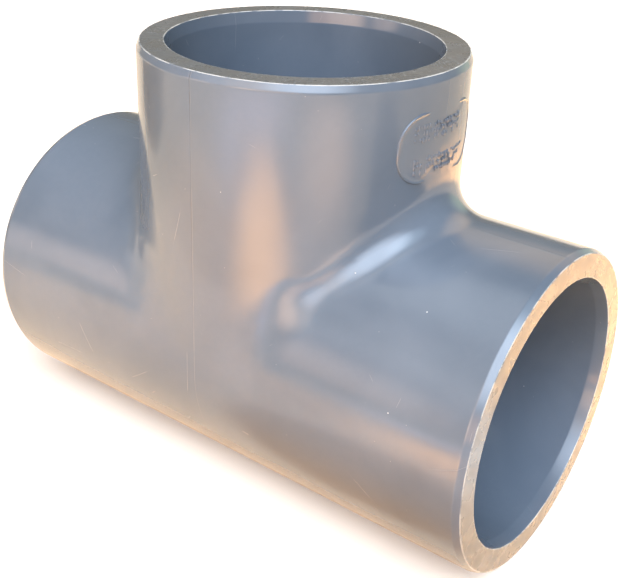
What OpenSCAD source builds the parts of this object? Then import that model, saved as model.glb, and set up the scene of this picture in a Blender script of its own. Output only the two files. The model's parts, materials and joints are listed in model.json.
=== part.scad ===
// Equal 90 degree pipe tee with three plain sockets for solvent cement.
// Rest frame: the run lies along X, the branch points up along +Z, and the
// origin is under the crossing of the two axes, at the lowest point of the run.
// All sizes are in millimetres.

/* [Sockets] */
// Inside diameter of each socket
socket_d = 63.2; // [62.8:0.1:64]
// Depth of each socket, from its mouth to the pipe stop
socket_depth = 38; // [34:0.5:40]
// Length of the flared lead-in at each mouth
lead_in_length = 3; // [1:0.5:6]
// How much the lead-in widens the socket's radius at the mouth
lead_in_flare = 0.5; // [0.2:0.1:1.2]

/* [Barrels] */
// Outside diameter of the run and of the branch
barrel_d = 76.8; // [74:0.2:84]
// Distance from the crossing of the axes to each mouth
centre_to_mouth = 71.3; // [70:0.1:76]
// Length along the barrel of the eased outer edge at each mouth
rim_ease_length = 1.6; // [0.5:0.1:3]
// Width across the mouth's face of the eased outer edge
rim_ease_width = 0.7; // [0.3:0.1:1.5]

/* [Crotch fillet] */
// Radius of the fillet in the middle of both corners between branch and run
fillet_r = 8.4; // [5:0.2:11]
// How many times that radius the fillet has at the corner's front and back
fillet_growth = 5.5; // [1:0.5:7]

/* [Waterway] */
// Diameter of the crossing waterways behind the pipe stops
waterway_d = 57; // [50:0.5:59]

/* [Marking panel] */
// Width of the raised panel, measured straight across
panel_width = 28.8; // [20:0.2:34]
// Height of the raised panel
panel_height = 15.6; // [12:0.2:18]
// Radius of the panel's corners
panel_corner_r = 7; // [3:0.5:7.5]
// How far the panel stands proud of the branch
panel_relief = 0.4; // [0.2:0.1:0.8]
// Height of the panel's middle above the crossing of the axes
panel_level = 56.1; // [54:0.1:58]

/* [Hidden] */
$fn = 96;
barrel_r = barrel_d / 2;
socket_r = socket_d / 2;
waterway_r = waterway_d / 2;
// Distance from the crossing of the axes to each pipe stop
stop_level = centre_to_mouth - socket_depth;
// Rings along one fillet, and flats across it
fillet_rings = 45;
fillet_flats = 8;
// Angles from the middle of a fillet between which its radius grows
growth_start = 46;
growth_end = 82;
// Angle from the middle of a fillet to each of its ends, past which it is
// thinner than fillet_sink
fillet_reach = 88;
// How far the fillet's edges are sunk under the barrels they run out on
fillet_sink = 0.05;
// Depth of the fillet's root under the sharp corner it fills
fillet_root = 1.5;
// A length past every outer surface, for the cutting blocks
beyond = 2 * centre_to_mouth;
pvc_grey = [0.62, 0.63, 0.66];
pvc_grey_panel = [0.66, 0.67, 0.70];

// Places a shape drawn around the crossing of the axes in the rest frame.
module on_crossing() {
    translate([0, 0, barrel_r]) children();
}

// Turns a shape that is drawn along +Z so that it runs along X.
module along_x(side) {
    rotate([0, 90 * side, 0]) children();
}

// Share of the growth that the fillet's radius has at an angle, from 0 to 1.
function grown(angle) =
    let (way = (abs(angle) - growth_start) / (growth_end - growth_start))
    let (share = max(0, min(1, way)))
    share * share * (3 - 2 * share);

// Radius of a ball that touches both barrels from outside, at an angle that
// runs from the front of the corner, through its middle at 0, to the back.
function ball_r(angle) = fillet_r * (1 + (fillet_growth - 1) * grown(angle));

// Centre of that ball.
function ball_centre(angle) =
    (barrel_r + ball_r(angle)) * [cos(angle), sin(angle), cos(angle)];

// Directions from that centre to where the ball touches each barrel.
function to_branch(angle) = [-cos(angle), -sin(angle), 0];
function to_run(angle) = [0, -sin(angle), -cos(angle)];

// Direction from that centre at a share of the way from branch to run.
function to_between(angle, share) =
    let (mix = (1 - share) * to_branch(angle) + share * to_run(angle))
    mix / norm(mix);

// One closed ring of the fillet: its hollow face, then its root in the wall.
function fillet_ring(angle) = [
    for (i = [0 : fillet_flats])
        ball_centre(angle)
            + (ball_r(angle) + fillet_sink) * to_between(angle, i / fillet_flats),
    (barrel_r - fillet_root) * [cos(angle), sin(angle), cos(angle)],
];

// Angle of each ring, from the back of the corner to its front.
function ring_angle(i) = fillet_reach * (1 - 2 * i / (fillet_rings - 1));

// The fillet in the corner between the branch and the right of the run.
module right_fillet() {
    corners = fillet_flats + 2;
    last = (fillet_rings - 1) * corners;
    rings = [
        for (i = [0 : fillet_rings - 1]) each fillet_ring(ring_angle(i)),
    ];
    walls = [
        for (i = [0 : fillet_rings - 2], k = [0 : corners - 1])
            let (a = i * corners + k, b = i * corners + (k + 1) % corners)
            each [[a, b, b + corners], [a, b + corners, a + corners]],
    ];
    ends = [
        [for (k = [corners - 1 : -1 : 0]) k],
        [for (k = [0 : corners - 1]) last + k],
    ];
    polyhedron(points = rings, faces = concat(walls, ends));
}

// The fillet on either side of the branch.
module corner_fillet(side) {
    if (side > 0) right_fillet();
    else mirror([1, 0, 0]) right_fillet();
}

// Half a turned section of one socket: straight wall, flared lead-in, flat
// face, and an eased outer edge.
module socket_section() {
    polygon([
        [socket_r, stop_level],
        [socket_r, centre_to_mouth - lead_in_length],
        [socket_r + lead_in_flare, centre_to_mouth],
        [barrel_r - rim_ease_width, centre_to_mouth],
        [barrel_r, centre_to_mouth - rim_ease_length],
        [barrel_r, stop_level],
    ]);
}

// One whole socket along +Z, with its stop end at stop_level.
module socket_sleeve() {
    rotate_extrude() socket_section();
}

// A block whose outline is drawn in the XZ plane, thick along Y.
module block_in_xz() {
    rotate([90, 0, 0])
        linear_extrude(height = beyond, center = true) children();
}

// The space above both mitre planes of the crossing, where z is over |x|.
module above_mitre() {
    block_in_xz() polygon([[0, 0], [beyond, beyond], [-beyond, beyond]]);
}

// The space past one pipe stop, in the direction of one mouth.
module past_stop() {
    translate([-beyond, -beyond, stop_level])
        cube([2 * beyond, 2 * beyond, beyond]);
}

// The space under one mitre plane, on one side of the crossing.
module below_mitre(side) {
    block_in_xz() polygon([
        [0, 0],
        [side * beyond, beyond],
        [side * beyond, -beyond],
        [0, -beyond],
    ]);
}

// A socket on the run, cut off at its mitre with the branch.
module run_socket(side) {
    intersection() {
        union() {
            along_x(side) socket_sleeve();
            intersection() {
                corner_fillet(side);
                along_x(side) past_stop();
            }
        }
        below_mitre(side);
    }
}

// A rod along X between the two pipe stops of the run, made a little longer
// where it is a cutter.
module run_rod(rod_r, extra = 0) {
    along_x(1) cylinder(h = 2 * (stop_level + extra), r = rod_r, center = true);
}

// A rod along +Z from the crossing to the pipe stop of the branch.
module branch_rod(rod_r, extra = 0) {
    cylinder(h = stop_level + extra, r = rod_r);
}

// The block between the three pipe stops.
module between_stops() {
    translate([-stop_level, -beyond / 2, -beyond])
        cube([2 * stop_level, beyond, beyond + stop_level]);
}

// Front outline of the marking panel: a rectangle with round corners.
module panel_outline() {
    flat_y = panel_width - 2 * panel_corner_r;
    flat_z = panel_height - 2 * panel_corner_r;
    square([panel_height, flat_y], center = true);
    square([flat_z, panel_width], center = true);
    for (z = [-1, 1], y = [-1, 1])
        translate([z * flat_z / 2, y * flat_y / 2]) circle(r = panel_corner_r);
}

// Chamber where the run and the branch cross, between the three pipe stops.
module centre_body() {
    color(pvc_grey) on_crossing() difference() {
        intersection() {
            union() {
                run_rod(barrel_r);
                branch_rod(barrel_r);
                corner_fillet(1);
                corner_fillet(-1);
            }
            between_stops();
        }
        run_rod(waterway_r, 1);
        branch_rod(waterway_r, 1);
    }
}

// Left end of the run, which takes a pipe.
module run_socket_left() {
    color(pvc_grey) on_crossing() run_socket(-1);
}

// Right end of the run, which takes a pipe.
module run_socket_right() {
    color(pvc_grey) on_crossing() run_socket(1);
}

// The branch above its pipe stop, which takes a pipe.
module branch_socket() {
    color(pvc_grey) on_crossing() intersection() {
        union() {
            socket_sleeve();
            intersection() {
                union() {
                    corner_fillet(1);
                    corner_fillet(-1);
                }
                past_stop();
            }
        }
        above_mitre();
    }
}

// Thin raised panel on the right of the branch, curved with its barrel.
module marking_panel() {
    color(pvc_grey_panel) on_crossing() intersection() {
        translate([0, 0, panel_level - panel_height])
            difference() {
                cylinder(h = 2 * panel_height, r = barrel_r + panel_relief);
                translate([0, 0, -1])
                    cylinder(h = 2 * panel_height + 2, r = barrel_r);
            }
        translate([0, 0, panel_level])
            along_x(1) linear_extrude(height = beyond) panel_outline();
    }
}

centre_body();
run_socket_left();
run_socket_right();
branch_socket();
marking_panel();
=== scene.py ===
"""An equal pipe tee of grey PVC: one moulding, drawn as the regions that its CAD nodes name."""

import json
import random
from math import acos, asin, cos, pi, radians, sin, sqrt

import bmesh
import bpy
from mathutils import Matrix, Vector


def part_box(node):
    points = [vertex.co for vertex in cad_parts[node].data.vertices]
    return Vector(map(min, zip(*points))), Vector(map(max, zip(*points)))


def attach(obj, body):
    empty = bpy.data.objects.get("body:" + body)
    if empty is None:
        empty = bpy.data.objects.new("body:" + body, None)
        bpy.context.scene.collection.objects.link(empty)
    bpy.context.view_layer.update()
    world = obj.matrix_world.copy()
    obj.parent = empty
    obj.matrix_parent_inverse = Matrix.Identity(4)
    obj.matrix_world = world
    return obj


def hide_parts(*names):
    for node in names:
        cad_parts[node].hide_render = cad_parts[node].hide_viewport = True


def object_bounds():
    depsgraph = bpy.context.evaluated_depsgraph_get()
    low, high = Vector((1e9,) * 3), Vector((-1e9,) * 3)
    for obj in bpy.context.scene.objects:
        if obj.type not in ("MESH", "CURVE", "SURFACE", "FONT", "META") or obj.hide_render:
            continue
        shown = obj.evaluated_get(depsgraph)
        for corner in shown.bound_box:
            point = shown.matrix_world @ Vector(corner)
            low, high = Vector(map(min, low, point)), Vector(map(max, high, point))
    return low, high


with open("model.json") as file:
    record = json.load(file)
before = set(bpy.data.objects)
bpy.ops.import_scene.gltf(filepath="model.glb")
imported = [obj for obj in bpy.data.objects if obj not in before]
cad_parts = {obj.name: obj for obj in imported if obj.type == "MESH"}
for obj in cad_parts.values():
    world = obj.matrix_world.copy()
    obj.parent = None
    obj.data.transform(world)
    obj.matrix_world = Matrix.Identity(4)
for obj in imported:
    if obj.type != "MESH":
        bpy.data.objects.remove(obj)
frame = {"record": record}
cad_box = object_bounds()

# ---------------------------------------------------------------- sizes, from the frame, in metres
MM = 0.001
MOUNTS = {m["name"]: m["dims"] for m in frame["record"]["mounts"]}
MOUTH = cad_box[1][0]  # from the crossing of the axes to each mouth
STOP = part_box("run_socket_right")[0][0]  # from the crossing to each pipe stop
BARREL_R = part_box("centre_body")[1][1]
SOCKET_R = MOUNTS["branch_socket_bore"]["r_mm"] * MM
LEAD_IN = MOUTH - STOP - MOUNTS["branch_socket_bore"]["length_mm"] * MM
CROSSING = Vector((0, 0, BARREL_R))
WATERWAY_R = SOCKET_R - 3.1 * MM  # the pipe stop is the step between the two
# the middle of the fillet's arc stands out past the barrel by 1 - cos 45 degrees of its radius
FILLET_R = (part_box("branch_socket")[1][0] - BARREL_R) / (1 - sqrt(0.5))
FILLET_GROWTH = 5.5  # how many times larger the fillet's radius is at the front and the back
GROWTH_START = radians(46)  # the columns between which it grows
GROWTH_END = radians(82)
PLAIN = BARREL_R + FILLET_R + 0.8 * MM  # the height past which a barrel is a plain cylinder
LEAD_IN_FLARE = 0.5 * MM
EASE_LENGTH = 1.6 * MM  # of the sloping rim outside each mouth
EASE_WIDTH = 0.7 * MM
EDGE_REACH = 0.20 * MM  # of the small rounding at each edge of a mouth's flat face
TINY = 1e-9  # cosines and angles under this count as nothing


def fade(value, start, end):
    """0 before start, 1 past end, and smooth between."""
    share = max(0.0, min(1.0, (value - start) / (end - start)))
    return share * share * (3 - 2 * share)


# ---------------------------------------------------------------- the fillet between two equal barrels
# Each arm has its own directions: u towards the arm that it crosses, v across both, h along itself.
# A column is an angle about h, 0 towards u.
def fillet_radius(column):
    """The fillet's radius, which grows where the barrels come together at the front and back."""
    round_to_side = asin(min(1.0, abs(sin(column))))
    return FILLET_R * (1 + (FILLET_GROWTH - 1) * fade(round_to_side, GROWTH_START, GROWTH_END))


def ball_turn(column):
    """The angle that the rolling ball turns through between the two barrels that it touches."""
    return acos(min(1.0, sin(column) ** 2))


def ball_point(column, turned):
    """(u, v, h) on the fillet, after the ball's contact has turned this far off the arm's own barrel."""
    whole = ball_turn(column)
    if whole < 1e-6:
        return (BARREL_R * cos(column), BARREL_R * sin(column), 0.0)
    own = sin(whole - turned) / sin(whole)
    other = sin(turned) / sin(whole)
    ball_r = fillet_radius(column)
    reach = BARREL_R + ball_r
    u = reach * cos(column) - ball_r * own * cos(column)
    v = reach * sin(column) - ball_r * (own + other) * sin(column)
    h = reach * cos(column) - ball_r * other * cos(column)
    return (u, v, h)


def turned_at(column, h):
    """How far round the fillet the height h is, measured from the arm's own barrel."""
    ball_r = fillet_radius(column)
    share = ((BARREL_R + ball_r) * cos(column) - h) * sqrt(1 + sin(column) ** 2) / ball_r
    return asin(max(0.0, min(1.0, share)))


def mitre_point(column):
    """(u, v, h) on the fillet half way between the two barrels, where the two arms' skins meet."""
    return ball_point(column, ball_turn(column) / 2)


def corner_column():
    """The column where the mitre comes down to the pipe stop's level."""
    low, high = 0.0, pi / 2
    for _ in range(60):
        middle = (low + high) / 2
        if mitre_point(middle)[2] > STOP:
            low = middle
        else:
            high = middle
    return low


CORNER = corner_column()


def skin_point(column, fillet, start, end, share):
    """(u, v, h) at a share of the way along a column of outer skin, from height start to height end."""
    far_side = fillet and cos(column) < 0
    side = -1.0 if far_side else 1.0
    turn = pi - column if far_side else column
    if not fillet or cos(turn) < TINY:
        h = start + share * (end - start)
        return (BARREL_R * cos(column), BARREL_R * sin(column), h)
    ball_r = fillet_radius(turn)
    contact = (BARREL_R + ball_r) * cos(turn)
    half = ball_turn(turn) / 2
    first = min(half, turned_at(turn, start))
    last = turned_at(turn, end) if end < contact else 0.0
    begin = max(start, contact)
    arc = ball_r * max(0.0, first - last)
    straight = max(0.0, end - begin)
    along = share * (arc + straight)
    if along < arc or end <= contact:
        u, v, h = ball_point(turn, first - along / ball_r)
        return (side * u, v, h)
    h = begin + along - arc
    return (BARREL_R * cos(column), BARREL_R * sin(column), h)


# ---------------------------------------------------------------- columns and rows
RIDGE_HALF = 0.18 * MM  # half the width of the parting line's ridge
GROOVE_HALF = 0.34 * MM  # and of the knit line's groove
LINE_OFFSETS = (0.0, RIDGE_HALF / 2, RIDGE_HALF, GROOVE_HALF, 0.7 * MM)
QUARTER_STEPS = 44


def columns():
    """Angles all round an arm, closer together at the fine lines in the two planes of the moulding."""
    edge = [offset / BARREL_R for offset in LINE_OFFSETS]
    corner_near = [CORNER - edge[3], CORNER, CORNER + edge[3]]
    gap = (pi / 2 - 2 * edge[-1]) / QUARTER_STEPS
    even = [edge[-1] + gap * i for i in range(1, QUARTER_STEPS)]
    even = [a for a in even if abs(a - CORNER) > gap * 0.4]
    quarter = sorted(edge + even + corner_near + [pi / 2 - e for e in edge])
    half = quarter + [pi - a for a in reversed(quarter[:-1])]
    return half + [-a for a in reversed(half[1:-1])]


COLUMNS = columns()


def shares(count, guard=0.006):
    """Shares from 0 to 1, with one extra row close to each end."""
    inner = [i / count for i in range(1, count)]
    return [0.0, guard] + inner + [1 - guard, 1.0]


# ---------------------------------------------------------------- fine marks of the mould
RIDGE = 0.05 * MM  # height of the parting line
GROOVE = 0.06 * MM  # depth of the knit line


def line_profile(offset, half_width):
    """1 on a fine line, falling to 0 at half_width to either side."""
    share = min(1.0, abs(offset) / half_width)
    return (1 - share) ** 2 * (1 + 2 * share)


def mark_height(arm, column, h):
    """How far a point of outer skin stands proud of its barrel, in metres."""
    parting = RIDGE * line_profile(BARREL_R * sin(column), RIDGE_HALF) * fade(h, PLAIN, PLAIN + 4 * MM)
    if arm == "branch":
        knit = line_profile(BARREL_R * cos(column), GROOVE_HALF) * fade(h, 0.1 * BARREL_R, 0.6 * BARREL_R)
        return parting - GROOVE * knit
    return parting if cos(column) > 0 else 0.0


# ---------------------------------------------------------------- mesh building
MERGE = 1e-7  # points closer than this are one point
AXES = {
    # u, v and h of each arm
    "branch": (Vector((1, 0, 0)), Vector((0, 1, 0)), Vector((0, 0, 1))),
    "run_right": (Vector((0, 0, 1)), Vector((0, 1, 0)), Vector((1, 0, 0))),
    "run_left": (Vector((0, 0, 1)), Vector((0, 1, 0)), Vector((-1, 0, 0))),
}


def place(arm, point):
    """The point (u, v, h) of an arm, in the frame."""
    u, v, h = AXES[arm]
    return CROSSING + u * point[0] + v * point[1] + h * point[2]


def place_on_skin(arm, column, point):
    """As place, with the mould's fine marks worked in across the arm."""
    u, v, h = point
    grow = 1 + mark_height(arm, column, h) / BARREL_R
    return place(arm, (u * grow, v * grow, h))


def add_grid(bm, rows, material=0, closed=True):
    """Quads between rows of points. Points that fall together are merged when the piece is finished."""
    made = [[bm.verts.new(p) for p in row] for row in rows]
    count = len(made[0])
    for lower, upper in zip(made, made[1:]):
        for i in range(count if closed else count - 1):
            k = (i + 1) % count
            face = bm.faces.new((lower[i], lower[k], upper[k], upper[i]))
            face.material_index = material
            face.smooth = True


def finish_mesh(bm, name, materials, crease=35.0):
    """Merges the grids into one closed mesh and makes an object of it. Edges over crease stay sharp."""
    bmesh.ops.remove_doubles(bm, verts=bm.verts, dist=MERGE)
    bmesh.ops.dissolve_degenerate(bm, edges=bm.edges, dist=MERGE)
    bmesh.ops.recalc_face_normals(bm, faces=bm.faces)
    mesh = bpy.data.meshes.new(name)
    bm.to_mesh(mesh)
    bm.free()
    mesh.set_sharp_from_angle(angle=radians(crease))
    piece = bpy.data.objects.new(name, mesh)
    bpy.context.scene.collection.objects.link(piece)
    for material in materials:
        mesh.materials.append(material)
    return piece


# ---------------------------------------------------------------- turned profile of a mouth
GUARD = 0.06 * MM  # from each rounding to the row beside it, which keeps the flat stretch flat


def eased(corners, reaches, steps=6):
    """A profile with each inner corner rounded off, as (radius, height) points."""
    out = [corners[0]]
    for before, at, after, reach in zip(corners, corners[1:], corners[2:], reaches):
        back = Vector(before) - Vector(at)
        on = Vector(after) - Vector(at)
        near = Vector(at) + back.normalized() * min(reach, back.length * 0.4)
        far = Vector(at) + on.normalized() * min(reach, on.length * 0.4)
        out.append(tuple(near + back.normalized() * GUARD))
        for i in range(steps + 1):
            t = i / steps
            out.append(tuple(near * (1 - t) ** 2 + Vector(at) * 2 * t * (1 - t) + far * t * t))
        out.append(tuple(far + on.normalized() * GUARD))
    out.append(corners[-1])
    return out


def mouth_profile():
    """From the plain barrel over the rim and down the lead-in to the socket's straight wall."""
    corners = [
        (BARREL_R, PLAIN),
        (BARREL_R, MOUTH - EASE_LENGTH),
        (BARREL_R - EASE_WIDTH, MOUTH),
        (SOCKET_R + LEAD_IN_FLARE, MOUTH),
        (SOCKET_R, MOUTH - LEAD_IN),
        (SOCKET_R, STOP),
    ]
    return eased(corners, (0.3 * MM, EDGE_REACH, EDGE_REACH, 0.25 * MM))


def with_rows_between(profile, longest=3.0 * MM):
    """Adds points on the long straight stretches of a profile."""
    out = [profile[0]]
    for a, b in zip(profile, profile[1:]):
        span = sqrt((b[0] - a[0]) ** 2 + (b[1] - a[1]) ** 2)
        extra = int(span / longest)
        for i in range(1, extra + 1):
            t = i / (extra + 1)
            out.append((a[0] + t * (b[0] - a[0]), a[1] + t * (b[1] - a[1])))
        out.append(b)
    return out


# ---------------------------------------------------------------- pieces
# fillet is 2 on an arm that has one on its u side and one opposite, and 1 on an arm with the first only.
SKIN_STEPS = 14  # rows along a stretch of outer skin
SKIN, FACE, WORN_AND_GLINT = range(3)  # a socket's material slots


def skin_rows(arm, fillet, start, end, cols):
    """Rows of outer skin from the height start(column) to end, with the mould's fine marks worked in."""
    rows = []
    for share in shares(SKIN_STEPS):
        row = []
        for column in cols:
            point = skin_point(column, fillet_here(column, fillet), start(column), end, share)
            row.append(place_on_skin(arm, column, point))
        rows.append(row)
    return rows


def fillet_here(column, fillet):
    """Whether this column of the arm runs into a fillet."""
    return fillet == 2 or cos(column) > TINY


def folded(column, fillet):
    """The column as an angle from the nearest fillet's middle, or None where the arm has no fillet."""
    if cos(column) >= -TINY:
        return column
    if fillet == 1:
        return None
    return pi - column if column > 0 else -pi - column


def corner_edge(arm, column, fillet):
    """A point on the rim of the stop's plane: the corner line between two stops, or the skin itself."""
    near = folded(column, fillet)
    if near is None or abs(near) >= CORNER:
        point = skin_point(column, fillet_here(column, fillet), STOP, PLAIN, 0.0)
        return place_on_skin(arm, column, point)
    width = mitre_point(CORNER)[1]
    side = 1.0 if near == column else -1.0
    return place(arm, (side * STOP, width * near / CORNER, STOP))


def arm_start(fillet):
    """A function of the column: the height at which an arm's own outer skin begins."""

    def start(column):
        near = folded(column, fillet)
        if near is None or abs(near) >= CORNER:
            return STOP
        return mitre_point(near)[2]

    return start


def turned_row(arm, radius, h):
    """A ring of points about an arm, with the fine marks on the outside, which die out over the rim."""
    points = []
    for column in COLUMNS:
        grow = 1.0
        if radius > BARREL_R - EASE_WIDTH - 10 * MERGE and h > PLAIN - 10 * MERGE:
            grow += mark_height(arm, column, h) * fade(MOUTH - h, 0.2 * MM, EASE_LENGTH) / BARREL_R
        points.append(place(arm, (radius * grow * cos(column), radius * grow * sin(column), h)))
    return points


def socket_piece(name, arm, fillet, materials):
    """One socket: outer skin, eased rim, flat face, lead-in, straight wall and the end in the body."""
    bm = bmesh.new()
    skin = skin_rows(arm, fillet, arm_start(fillet), PLAIN, COLUMNS)
    add_grid(bm, skin)
    profile = with_rows_between(mouth_profile())
    rows = [turned_row(arm, radius, h) for radius, h in profile]
    flat = [i for i, (_, h) in enumerate(profile) if h > MOUTH - MERGE]
    # rows of the small roundings at the flat face's edges, which take the pale worn colour that is partly a
    # painted highlight
    worn_and_glint = [i for i, (_, h) in enumerate(profile) if h > MOUTH - 0.9 * EDGE_REACH]
    limits = (0, worn_and_glint[0], flat[0], flat[-1], worn_and_glint[-1], len(rows) - 1)
    for first, last, material in zip(limits, limits[1:], (SKIN, WORN_AND_GLINT, FACE, WORN_AND_GLINT, SKIN)):
        add_grid(bm, rows[first : last + 1], material)
    edge = [corner_edge(arm, c, fillet) for c in COLUMNS]
    add_grid(bm, [rows[-1], edge])
    mitre = []
    for share in (0.0, 0.5, 1.0):
        mitre.append([a.lerp(b, share) for a, b in zip(edge, skin[0])])
    add_grid(bm, mitre)
    return finish_mesh(bm, name, materials)


def waterway_rows(arm, fillet):
    """The waterway's wall, from the line where it meets the crossing one out to the pipe stop."""
    rows = []
    for share in (0.0, 0.25, 0.5, 0.75, 1.0):
        row = []
        for column in COLUMNS:
            reach = abs(cos(column)) if fillet == 2 else max(0.0, cos(column))
            start = WATERWAY_R * reach
            h = start + share * (STOP - start)
            row.append(place(arm, (WATERWAY_R * cos(column), WATERWAY_R * sin(column), h)))
        rows.append(row)
    return rows


def core_skin(bm, arm, fillet):
    """Outer skin of the centre on one arm's side, from the mitre out to the plane of the pipe stop."""

    def start(column):
        near = folded(column, fillet)
        return 0.0 if near is None else mitre_point(near)[2]

    def bare(column):
        near = folded(column, fillet)
        return near is None or abs(near) >= CORNER - TINY

    count = len(COLUMNS)
    for first in range(count):
        if not bare(COLUMNS[first]) or bare(COLUMNS[first - 1]):
            continue
        stretch = []
        i = first
        while bare(COLUMNS[i % count]):
            stretch.append(COLUMNS[i % count])
            i += 1
        add_grid(bm, skin_rows(arm, fillet, start, STOP, stretch), closed=False)


def centre_piece(name, materials):
    """The chamber between the three pipe stops, with its waterways."""
    bm = bmesh.new()
    for arm, fillet in (("branch", 2), ("run_right", 1), ("run_left", 1)):
        core_skin(bm, arm, fillet)
        add_grid(bm, waterway_rows(arm, fillet))
        edge = [corner_edge(arm, c, fillet) for c in COLUMNS]
        inner = [turned_row(arm, r, STOP) for r in (WATERWAY_R, WATERWAY_R + 0.2 * MM, SOCKET_R)]
        add_grid(bm, inner + [edge])
    return finish_mesh(bm, name, materials)


# ---------------------------------------------------------------- the marking panel
PAD_SUNK = 0.1 * MM  # how far a pad reaches down into what it stands on
PANEL_CORNER = 7 * MM
PANEL_LEVEL = 0.2 * MM  # height of the panel inside its bead
# profiles of the panel's beaded edge and of a dash, (inset, height) in mm
BEAD = ((0.0, 0.0), (0.05, 0.2), (0.14, 0.32), (0.26, 0.38), (0.38, 0.34), (0.52, 0.24), (0.7, 0.2))
DASH = ((0.0, 0.0), (0.05, 0.12), (0.14, 0.19))
# each row of dashes: its height off the panel's middle, where it starts and where it ends, in mm
DASH_ROWS = ((3.5, -10.2, 6.0), (-3.9, -10.6, 9.2))
DASH_LINES = (-1.35, 0.0, 1.35)  # each row holds three lines of dashes, this far off its middle
DASH_CORNER = 0.16 * MM


def pad_outline(half_w, half_h, corner, steps):
    """A rectangle with round corners, as (across, up) points."""
    out = []
    centres = ((1, 1, 0), (-1, 1, 90), (-1, -1, 180), (1, -1, 270))
    for sx, sy, first in centres:
        for i in range(steps + 1):
            a = radians(first + 90 * i / steps)
            x = sx * (half_w - corner) + corner * cos(a)
            y = sy * (half_h - corner) + corner * sin(a)
            out.append((x, y))
    return out


def on_branch(across, height, radius):
    """A point on a cylinder about the branch, by arc length from the +X side and by height."""
    a = across / BARREL_R
    return Vector((radius * cos(a), radius * sin(a), height))


def add_pad(bm, across, up, half_w, half_h, corner, base_r, profile, fill, steps):
    """A low pad bent round the branch and closed underneath, with a profile of (inset, height) in mm."""

    def ring(shape, scale, height):
        return [on_branch(across + x * scale, up + y * scale, base_r + height) for x, y in shape]

    rows = [ring(pad_outline(half_w, half_h, corner, steps), 1.0, -PAD_SUNK)]
    for inset, height in profile:
        inset *= MM
        shape = pad_outline(half_w - inset, half_h - inset, max(corner - inset, 0.02 * MM), steps)
        rows.append(ring(shape, 1.0, height * MM))
    rows += [ring(shape, 1 - i / fill, height * MM) for i in range(1, fill + 1)]
    add_grid(bm, rows)
    foot = pad_outline(half_w, half_h, corner, steps)
    add_grid(bm, [ring(foot, scale, -PAD_SUNK) for scale in (1.0, 0.66, 0.33, 0.0)])


def add_dashes(bm, middle):
    """Short raised dashes of a few sizes, scattered along the rows, which spell nothing."""
    draw = random.Random(7)
    for lift, first, last in DASH_ROWS:
        across = first
        while across < last:
            for line in DASH_LINES:
                wide = draw.choice((0.34, 0.42, 0.62))
                tall = draw.choice((0.7, 1.0, 1.3))
                up = middle + (lift + line + draw.uniform(-0.25, 0.25)) * MM
                if draw.random() < 0.72:
                    size = (wide / 2 * MM, tall / 2 * MM, DASH_CORNER)
                    add_pad(bm, across * MM, up, *size, BARREL_R + PANEL_LEVEL, DASH, 1, 3)
            across += draw.uniform(0.78, 0.98)


def marking_panel_piece(name, materials):
    """The raised panel with its beaded edge, and plain raised dashes in place of its marking."""
    low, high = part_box("marking_panel")
    middle = (low[2] + high[2]) / 2
    half_w = BARREL_R * asin(high[1] / BARREL_R)
    half_h = (high[2] - low[2]) / 2
    bm = bmesh.new()
    add_pad(bm, 0.0, middle, half_w, half_h, PANEL_CORNER, BARREL_R, BEAD, 14, 10)
    add_dashes(bm, middle)
    return finish_mesh(bm, name, materials, crease=60)


# ---------------------------------------------------------------- materials
class Nodes:
    """Short calls for building a tree of shader nodes."""

    def __init__(self, tree):
        self.tree = tree

    def link(self, a, b):
        self.tree.links.new(a, b)

    def vector(self, kind, a, b=None):
        """Vector Math on sockets or tuples."""
        node = self.tree.nodes.new("ShaderNodeVectorMath")
        node.operation = kind
        for socket, value in zip(node.inputs, (a, b)):
            if isinstance(value, tuple):
                socket.default_value = value
            elif value is not None:
                self.link(value, socket)
        return node.outputs["Value" if kind in ("DOT_PRODUCT", "LENGTH") else "Vector"]

    def step(self, value, low, high, to_low=0.0, to_high=1.0):
        """to_low before low, to_high past high, and smooth between."""
        node = self.tree.nodes.new("ShaderNodeMapRange")
        node.interpolation_type = "SMOOTHSTEP"
        node.inputs["From Min"].default_value = low
        node.inputs["From Max"].default_value = high
        node.inputs["To Min"].default_value = to_low
        node.inputs["To Max"].default_value = to_high
        self.link(value, node.inputs["Value"])
        return node.outputs["Result"]

    def math(self, kind, a, b=0.0):
        """Math on sockets or numbers."""
        node = self.tree.nodes.new("ShaderNodeMath")
        node.operation = kind
        for socket, value in zip(node.inputs, (a, b)):
            if isinstance(value, (int, float)):
                socket.default_value = value
            else:
                self.link(value, socket)
        return node.outputs["Value"]

    def mix(self, share, a, b):
        """The colour a where share is 0 and b where it is 1."""
        node = self.tree.nodes.new("ShaderNodeMix")
        node.data_type = "RGBA"
        self.link(share, node.inputs["Factor"])
        for socket, value in zip(node.inputs[6:8], (a, b)):
            if isinstance(value, tuple):
                socket.default_value = (*value, 1)
            else:
                self.link(value, socket)
        return node.outputs[2]

    def bump(self, height, distance, normal=None):
        """A bump distance metres high where height is 1, on top of another bump if normal is given."""
        node = self.tree.nodes.new("ShaderNodeBump")
        node.inputs["Distance"].default_value = distance
        node.inputs["Strength"].default_value = 1.0
        self.link(height, node.inputs["Height"])
        if normal is not None:
            self.link(normal, node.inputs["Normal"])
        return node.outputs["Normal"]


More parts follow.
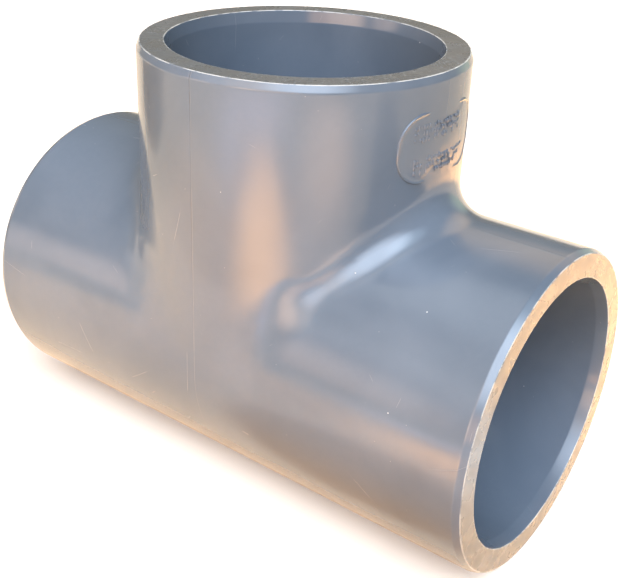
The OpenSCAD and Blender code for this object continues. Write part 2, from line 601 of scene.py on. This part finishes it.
class Material(Nodes):
    """The nodes of one material: an output, a Principled shader and textures by the place on the object."""

    def __init__(self, name):
        self.material = bpy.data.materials.new(name)
        self.material.use_nodes = True
        super().__init__(self.material.node_tree)
        self.tree.nodes.clear()
        self.output = self.tree.nodes.new("ShaderNodeOutputMaterial")
        self.shader = self.tree.nodes.new("ShaderNodeBsdfPrincipled")
        self.link(self.shader.outputs["BSDF"], self.output.inputs["Surface"])
        self.place = self.tree.nodes.new("ShaderNodeTexCoord").outputs["Object"]

    def scaled_place(self, scale):
        """The mapping node that gives the place on the object in units of 1 / scale."""
        mapping = self.tree.nodes.new("ShaderNodeMapping")
        mapping.inputs["Scale"].default_value = scale
        self.link(self.place, mapping.inputs["Vector"])
        return mapping

    def noise(self, size, detail, rough=0.5, stretch=(1, 1, 1), distortion=0.0):
        """Noise whose features are about size metres across."""
        mapping = self.scaled_place([s / size for s in stretch])
        node = self.tree.nodes.new("ShaderNodeTexNoise")
        node.inputs["Scale"].default_value = 1.0
        node.inputs["Detail"].default_value = detail
        node.inputs["Roughness"].default_value = rough
        node.inputs["Distortion"].default_value = distortion
        self.link(mapping.outputs["Vector"], node.inputs["Vector"])
        return node.outputs["Fac"]

    def cells(self, mapping):
        """Points scattered about one unit apart."""
        node = self.tree.nodes.new("ShaderNodeTexVoronoi")
        node.inputs["Scale"].default_value = 1.0
        self.link(mapping.outputs["Vector"], node.inputs["Vector"])
        return node

    def chosen(self, cells, channel, share):
        """1 on a share of the cells, picked by their random colour."""
        split = self.tree.nodes.new("ShaderNodeSeparateColor")
        self.link(cells.outputs["Color"], split.inputs["Color"])
        return self.step(split.outputs[channel], share, share - 0.02)

    def hairlines(self, spacing, reach, width, share):
        """1 on straight scratches: each is where a random plane through a scattered point cuts the skin."""
        mapping = self.scaled_place([1 / spacing] * 3)
        mapping.inputs["Location"].default_value = [share, reach / spacing, 0.3]
        cells = self.cells(mapping)
        offset = self.vector("SUBTRACT", mapping.outputs["Vector"], cells.outputs["Position"])
        facing = self.vector("NORMALIZE", self.vector("SUBTRACT", cells.outputs["Color"], (0.5, 0.5, 0.5)))
        off = self.math("ABSOLUTE", self.vector("DOT_PRODUCT", offset, facing))
        line = self.step(off, width / spacing, 0.3 * width / spacing)
        near = self.step(self.vector("LENGTH", offset), reach / spacing, 0.5 * reach / spacing)
        return self.math("MULTIPLY", self.math("MULTIPLY", line, near), self.chosen(cells, "Green", share))

    def specks(self, spacing, size, share):
        """1 on small round specks about size metres across, on a share of the cells."""
        cells = self.cells(self.scaled_place([1 / spacing] * 3))
        spot = self.step(cells.outputs["Distance"], 0.5 * size / spacing, 0.3 * size / spacing)
        return self.math("MULTIPLY", spot, self.chosen(cells, "Red", share))


PVC_IOR = 1.54
PVC = (0.090, 0.111, 0.141)
PVC_PALE = (0.100, 0.121, 0.152)
PVC_DEEP = (0.080, 0.100, 0.129)
FACE_GREY = (0.100, 0.096, 0.092)
DUST = (0.55, 0.55, 0.53)
GRIT = (0.030, 0.027, 0.024)
# pale rubbed wear on the mouths' edges, partly a painted highlight that stands in for their glint
RUBBED_AND_GLINT = (0.52, 0.50, 0.46)
PALE_FLOOR = ((0.94, 0.94, 0.94), (0.95, 0.95, 0.95))
WARM_FLOOR = ((0.86, 0.66, 0.46), (0.88, 0.68, 0.48))


def pvc_colour(n):
    """Grey with faint flow clouds, pale dust and a few dark grains."""
    clouds = n.step(n.noise(30 * MM, detail=3, distortion=0.6), 0.35, 0.65)
    grain = n.step(n.noise(1.4 * MM, detail=4, rough=0.6), 0.3, 0.75)
    colour = n.mix(clouds, PVC_DEEP, PVC_PALE)
    colour = n.mix(n.math("MULTIPLY", grain, 0.4), colour, PVC)
    dust = n.specks(6.5 * MM, 0.40 * MM, 0.30)
    fine_dust = n.specks(2.1 * MM, 0.17 * MM, 0.22)
    grit = n.specks(9.3 * MM, 0.3 * MM, 0.2)
    pale = n.math("MAXIMUM", dust, n.math("MULTIPLY", fine_dust, 0.55))
    colour = n.mix(n.math("MULTIPLY", pale, 0.8), colour, DUST)
    colour = n.mix(n.math("MULTIPLY", grit, 0.8), colour, GRIT)
    return colour, pale


def knit_line(n):
    """Where the melt met, down the branch's front and back: a dark line and a pale one beside it."""
    split = n.tree.nodes.new("ShaderNodeSeparateXYZ")
    n.link(n.place, split.inputs["Vector"])
    along, across, up = split.outputs
    outside = n.step(n.math("ABSOLUTE", across), SOCKET_R + 2 * MM, SOCKET_R + 3 * MM)
    broken = n.step(n.noise(6 * MM, detail=3), 0.35, 0.6, 0.3, 1.0)
    shown = n.math("MULTIPLY", outside, broken)
    off_dark = n.math("ABSOLUTE", n.math("ADD", along, 0.07 * MM))
    off_pale = n.math("ABSOLUTE", n.math("SUBTRACT", along, 0.16 * MM))
    darker_up = n.step(up, 45 * MM, MOUTH + 28 * MM, 0.10, 0.75)
    paler_up = n.step(up, 25 * MM, 50 * MM, 0.05, 0.16)
    dark = n.math("MULTIPLY", n.step(off_dark, 0.13 * MM, 0.04 * MM), darker_up)
    pale = n.math("MULTIPLY", n.step(off_pale, 0.11 * MM, 0.04 * MM), paler_up)
    return n.math("MULTIPLY", dark, shown), n.math("MULTIPLY", pale, shown)


def pvc_skin(name):
    """Glossy moulded PVC: mould polish with a soft waviness, dust, hair scratches and handling smears."""
    n = Material(name)
    colour, dust = pvc_colour(n)
    long_scratches = n.hairlines(17 * MM, 7.5 * MM, 0.045 * MM, 0.25)
    short_scratches = n.hairlines(7 * MM, 1.6 * MM, 0.035 * MM, 0.40)
    marks = n.math("MAXIMUM", long_scratches, short_scratches)
    dark_side, pale_side = knit_line(n)
    colour = n.mix(dark_side, colour, GRIT)
    colour = n.mix(pale_side, colour, DUST)
    n.link(n.mix(n.math("MULTIPLY", marks, 0.10), colour, DUST), n.shader.inputs["Base Color"])
    smear = n.step(n.noise(9 * MM, detail=4, rough=0.6, stretch=(1, 1, 0.4)), 0.35, 0.75, 0.12, 0.19)
    rough = n.math("ADD", smear, n.math("MULTIPLY", dust, 0.4))
    rough = n.math("ADD", rough, n.math("MULTIPLY", marks, 0.2))
    n.link(rough, n.shader.inputs["Roughness"])
    n.shader.inputs["IOR"].default_value = PVC_IOR
    normal = n.bump(n.noise(17 * MM, detail=1), 0.08 * MM)
    normal = n.bump(n.noise(2.2 * MM, detail=2), 0.004 * MM, normal)
    normal = n.bump(dust, 0.05 * MM, normal)
    normal = n.bump(marks, -0.012 * MM, normal)
    n.link(normal, n.shader.inputs["Normal"])
    return n.material


def pvc_end_face(name, smooth_share):
    """The flat end of a mouth: the same plastic, duller, with a coarse torn grain in places."""
    n = Material(name)
    colour, dust = pvc_colour(n)
    torn = n.step(n.noise(20 * MM, detail=1), smooth_share, smooth_share + 0.12)
    grain = n.step(n.noise(0.7 * MM, detail=3, rough=0.7), 0.5, 0.72)
    rough_patch = n.math("MULTIPLY", torn, grain)
    colour = n.mix(n.step(n.noise(3 * MM, detail=3), 0.2, 0.8, 0.6, 0.9), colour, FACE_GREY)
    n.link(n.mix(n.math("MULTIPLY", rough_patch, 0.25), colour, DUST), n.shader.inputs["Base Color"])
    n.link(n.step(n.noise(6 * MM, detail=3), 0.3, 0.7, 0.22, 0.34), n.shader.inputs["Roughness"])
    n.shader.inputs["IOR"].default_value = PVC_IOR
    normal = n.bump(n.noise(8 * MM, detail=1), 0.05 * MM)
    normal = n.bump(rough_patch, 0.08 * MM, normal)
    normal = n.bump(dust, 0.05 * MM, normal)
    n.link(normal, n.shader.inputs["Normal"])
    return n.material


def pvc_worn_and_glinting_edge(name):
    """The edges of a mouth, rubbed pale in broken stretches; the pale colour also paints the glint along
    the edges, a painted highlight.
    """
    n = Material(name)
    colour, _ = pvc_colour(n)
    rubbed_and_glint = n.step(n.noise(5 * MM, detail=4, rough=0.65), 0.38, 0.56, 0.15, 0.75)
    n.link(n.mix(rubbed_and_glint, colour, RUBBED_AND_GLINT), n.shader.inputs["Base Color"])
    n.link(n.step(rubbed_and_glint, 0.0, 1.0, 0.2, 0.45), n.shader.inputs["Roughness"])
    n.shader.inputs["IOR"].default_value = PVC_IOR
    n.link(n.bump(n.noise(0.5 * MM, detail=3), 0.03 * MM), n.shader.inputs["Normal"])
    return n.material


def floor_material(name, one, other):
    """Matt, with two close tones in broad clouds."""
    n = Material(name)
    tone = n.step(n.noise(60 * MM, detail=3), 0.3, 0.7)
    n.link(n.mix(tone, one, other), n.shader.inputs["Base Color"])
    n.shader.inputs["Roughness"].default_value = 0.7
    return n.material


# ---------------------------------------------------------------- stage
FLOOR_R = 3.0
# how far over the floor the warm floor, the flags and the glows lie
WARM_FLOOR_LIFT = 0.3 * MM
FLAG_LIFT = 0.8 * MM
GLOW_LIFT = 1.0 * MM


def direction(azimuth, elevation):
    """A unit vector: azimuth in degrees from the front towards +X, elevation in degrees up from level."""
    a, e = radians(azimuth), radians(elevation)
    return Vector((sin(a) * cos(e), -cos(a) * cos(e), sin(e)))


# the photograph's viewing angle, as azimuth and elevation, and the camera's roll, in degrees
VIEW = (37.22, 28.42)
VIEW_ROLL = 2.46
VIEW_DISTANCE = 6.850 * BARREL_R
# where the middle of the view meets the object, in barrel radii from the crossing
AIM = (0.026, 0.117, 0.154)


def add_camera():
    """A camera with a short telephoto lens, at the photograph's viewing angle."""
    camera = bpy.data.objects.new("camera", bpy.data.cameras.new("camera"))
    bpy.context.scene.collection.objects.link(camera)
    camera.location = CROSSING + direction(*VIEW) * VIEW_DISTANCE
    aim = CROSSING + Vector(AIM) * BARREL_R
    back = (camera.location - aim).normalized()
    side = Vector((0, 0, 1)).cross(back).normalized()
    up = back.cross(side)
    turn = Matrix((side, up, back)).transposed() @ Matrix.Rotation(radians(VIEW_ROLL), 3, "Z")
    camera.rotation_euler = turn.to_euler()
    camera.data.lens = 58.56
    camera.data.sensor_width = 36.0
    camera.data.clip_start = 0.01
    bpy.context.scene.camera = camera


def add_area(name, target, toward, distance, size, watts, colour):
    """A round panel of light, turned to a target that it stands at some distance from."""
    data = bpy.data.lights.new(name, "AREA")
    data.shape = "DISK"
    data.size = size
    data.energy = watts
    data.color = colour
    light = bpy.data.objects.new(name, data)
    bpy.context.scene.collection.objects.link(light)
    light.location = target + direction(*toward) * distance
    light.rotation_euler = (light.location - target).to_track_quat("Z", "Y").to_euler()
    return light


def add_disc(name, height, material):
    """A round floor at a height."""
    bm = bmesh.new()
    bmesh.ops.create_circle(bm, cap_ends=True, cap_tris=False, segments=96, radius=FLOOR_R)
    disc = bpy.data.objects.new(name, bpy.data.meshes.new(name))
    bm.to_mesh(disc.data)
    bm.free()
    bpy.context.scene.collection.objects.link(disc)
    disc.location.z = height
    disc.data.materials.append(material)
    return disc


def add_floor():
    """A pale floor at the run's lowest point, and a warm one just over it that only lights the part."""
    low = cad_box[0][2]
    add_disc("floor", low, floor_material("pale_floor", *PALE_FLOOR))
    warm = add_disc("warm_floor", low + WARM_FLOOR_LIFT, floor_material("warm_floor", *WARM_FLOOR))
    warm.visible_camera = False
    warm.visible_shadow = False
    return warm


SKY = {
    # azimuth, elevation, full within and gone past these angles, colour
    "window": (40, 48, 5, 37, (7.2, 8.5, 10.4)),
    "window_left": (-18, 40, 6, 28, (1.0, 1.0, 1.0)),
    "window_right": (80, 66, 5, 24, (1.6, 2.2, 2.8)),
    "ceiling": (-70, 70, 6, 27, (1.7, 1.8, 1.9)),
    "wall_front": (2, 20, 4, 25, (2.9, 2.2, 1.7)),
    "wall_behind": (-170, 38, 5, 26, (1.7, 1.1, 0.5)),
    "wall_left": (-30, 18, 4, 18, (0.9, 0.9, 1.0)),
    "low_left": (-35, 3, 3, 18, (3.0, 2.0, 1.4)),
    "low_front": (0, 3, 3, 20, (4.8, 2.9, 1.6)),
    "low_right": (24, 3, 3, 16, (4.4, 2.6, 1.5)),
    "low_behind": (175, 3, 3, 20, (0.8, 1.0, 0.7)),
}
SKY_BASE = (0.30, 0.25, 0.14)


def add_world():
    """A soft cool sky, brightest at the front right, over a low warm band."""
    world = bpy.data.worlds.new("sky")
    bpy.context.scene.world = world
    world.use_nodes = True
    n = Nodes(world.node_tree)
    ray = n.tree.nodes.new("ShaderNodeTexCoord").outputs["Generated"]
    total = SKY_BASE
    for azimuth, elevation, full, gone, colour in SKY.values():
        facing = n.vector("DOT_PRODUCT", ray, tuple(direction(azimuth, elevation)))
        lit = n.step(facing, cos(radians(gone)), cos(radians(full)))
        part = n.vector("SCALE", colour)
        part.node.inputs["Scale"].default_value = 1.0
        n.link(lit, part.node.inputs["Scale"])
        total = n.vector("ADD", part, total)
    n.link(total, n.tree.nodes["Background"].inputs["Color"])


POOLS = {
    # azimuth and distance of each pool of light on the warm floor, watts, colour
    "pool_front": (10, 0.20, 0.25, (1.0, 0.55, 0.25)),
    "pool_left": (-35, 0.20, 0.25, (1.0, 0.7, 0.4)),
    "pool_far_right": (122, 0.15, 0.20, (1.0, 0.78, 0.46)),
    "pool_behind": (160, 0.17, 0.50, (1.0, 0.60, 0.25)),
}

GLOWS = {
    # middle of each soft-edged glow on the floor, half width and half length, all in mm, turn, colour
    "glow_warm": ((50, -205), 90, 140, 8, (10.8, 5.7, 2.3)),
    "glow_far": ((40, -340), 230, 130, 0, (4.0, 3.6, 4.2)),
    "glow_right": ((245, -185), 140, 130, 0, (5.6, 3.8, 2.6)),
    "glow_behind": ((-330, 530), 260, 300, 32, (2.2, 2.0, 1.6)),
    "glow_face": ((112, 24), 44, 40, 0, (2.9, 2.9, 2.9)),
}

# painted shade: each flag is a dark or brown sheet that stands in for shade on the floor, seen by the part
# and not by the camera
PAINTED_SHADE_FLAGS = {
    # the same for each soft-edged flag on the floor, with how far it covers the floor before its colour
    "flag_front_right": ((42, -68), 66, 38, -6, 0.95, (0.80, 0.36, 0.09)),
    "flag_mouth": ((106, -52), 44, 44, 0, 0.97, (0.70, 0.30, 0.06)),
    "flag_far_right": ((300, 12), 130, 62, 0, 0.93, (0.07, 0.05, 0.035)),
    "flag_far_left": ((-430, -60), 190, 130, 0, 0.9, (0.07, 0.05, 0.035)),
}


def add_patch(name, centre, half_width, half_length, turn, lift):
    """A flat patch just over the floor, unseen by the camera, and its material's nodes."""
    bm = bmesh.new()
    bmesh.ops.create_grid(bm, x_segments=1, y_segments=1, size=1.0)
    patch = bpy.data.objects.new(name, bpy.data.meshes.new(name))
    bm.to_mesh(patch.data)
    bm.free()
    bpy.context.scene.collection.objects.link(patch)
    patch.location = (centre[0] * MM, centre[1] * MM, lift)
    patch.scale = (half_width * MM, half_length * MM, 1)
    patch.rotation_euler.z = radians(turn)
    patch.visible_camera = False
    patch.visible_shadow = False
    n = Material(name)
    patch.data.materials.append(n.material)
    return patch, n


def soften_edge(n, surface, inner, cover):
    """Shows a surface by cover out to a share inner of the patch, and less out to its edge, from above."""
    clear = n.tree.nodes.new("ShaderNodeBsdfTransparent")
    mixed = n.tree.nodes.new("ShaderNodeMixShader")
    from_below = n.tree.nodes.new("ShaderNodeNewGeometry").outputs["Backfacing"]
    shown = n.step(n.vector("LENGTH", n.place), 1.0, inner, 0.0, cover)
    n.link(n.math("MULTIPLY", shown, n.math("SUBTRACT", 1.0, from_below)), mixed.inputs["Fac"])
    n.link(clear.outputs["BSDF"], mixed.inputs[1])
    n.link(surface, mixed.inputs[2])
    n.link(mixed.outputs["Shader"], n.output.inputs["Surface"])


def add_glow(name, centre, half_width, half_length, turn, colour):
    """A bright patch of floor, seen only in the gloss."""
    patch, n = add_patch(name, centre, half_width, half_length, turn, GLOW_LIFT)
    patch.visible_diffuse = False
    shine = n.tree.nodes.new("ShaderNodeEmission")
    shine.inputs["Color"].default_value = (*colour, 1)
    soften_edge(n, shine.outputs["Emission"], 0.15, 1.0)


def add_painted_shade_flag(name, centre, half_width, half_length, turn, cover, colour):
    """Painted shade: a dark or brown sheet, unseen by the camera and casting no shadow, that stands in for
    shade on the floor and keeps the pale floor's own light off the part above it.
    """
    _, n = add_patch(name, centre, half_width, half_length, turn, FLAG_LIFT)
    n.shader.inputs["Base Color"].default_value = (*colour, 1)
    soften_edge(n, n.shader.outputs["BSDF"], 0.75, cover)


def add_pools(warm_floor):
    """Pools of light that fall on the warm floor and on nothing else."""
    lit = bpy.data.collections.new("lit_by_pools")
    lit.objects.link(warm_floor)
    for name, (azimuth, distance, watts, colour) in POOLS.items():
        target = direction(azimuth, 0) * distance
        pool = add_area(name, target, (azimuth, 60), 0.35, 0.05, watts, colour)
        pool.data.spread = radians(50)
        pool.visible_glossy = False
        pool.light_linking.receiver_collection = lit


def add_low_window():
    """A wide, low panel on the left that draws the pale band along the left run."""
    band = add_area("low_window", CROSSING, (-52, 5.0), 1.0, 0.55, 0.26, (1.0, 0.95, 1.0))
    band.data.shape = "RECTANGLE"
    band.data.size_y = 0.22


def add_lights(warm_floor):
    """The pools, the glows and the painted-shade flags on the floor, and the low window."""
    add_pools(warm_floor)
    for name, values in GLOWS.items():
        add_glow(name, *values)
    for name, values in PAINTED_SHADE_FLAGS.items():
        add_painted_shade_flag(name, *values)
    add_low_window()


# ---------------------------------------------------------------- assembly
def build():
    """Every piece, on the part's one body, in place of its CAD node."""
    skin = pvc_skin("pvc_skin")
    worn_and_glint = pvc_worn_and_glinting_edge("pvc_worn_and_glinting_edge")
    torn_mouth = [skin, pvc_end_face("pvc_torn_face", 0.46), worn_and_glint]
    mouth = [skin, pvc_end_face("pvc_smooth_face", 0.64), worn_and_glint]
    pieces = {
        "centre_body": centre_piece("tee_centre_body", [skin]),
        "branch_socket": socket_piece("tee_branch_socket", "branch", 2, torn_mouth),
        "run_socket_right": socket_piece("tee_run_socket_right", "run_right", 1, mouth),
        "run_socket_left": socket_piece("tee_run_socket_left", "run_left", 1, mouth),
        "marking_panel": marking_panel_piece("tee_marking_panel", [pvc_skin("pvc_panel_skin")]),
    }
    for node, piece in pieces.items():
        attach(piece, "root")
        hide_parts(node)


build()
add_world()
add_lights(add_floor())
add_camera()
bpy.context.scene.view_settings.view_transform = "Standard"
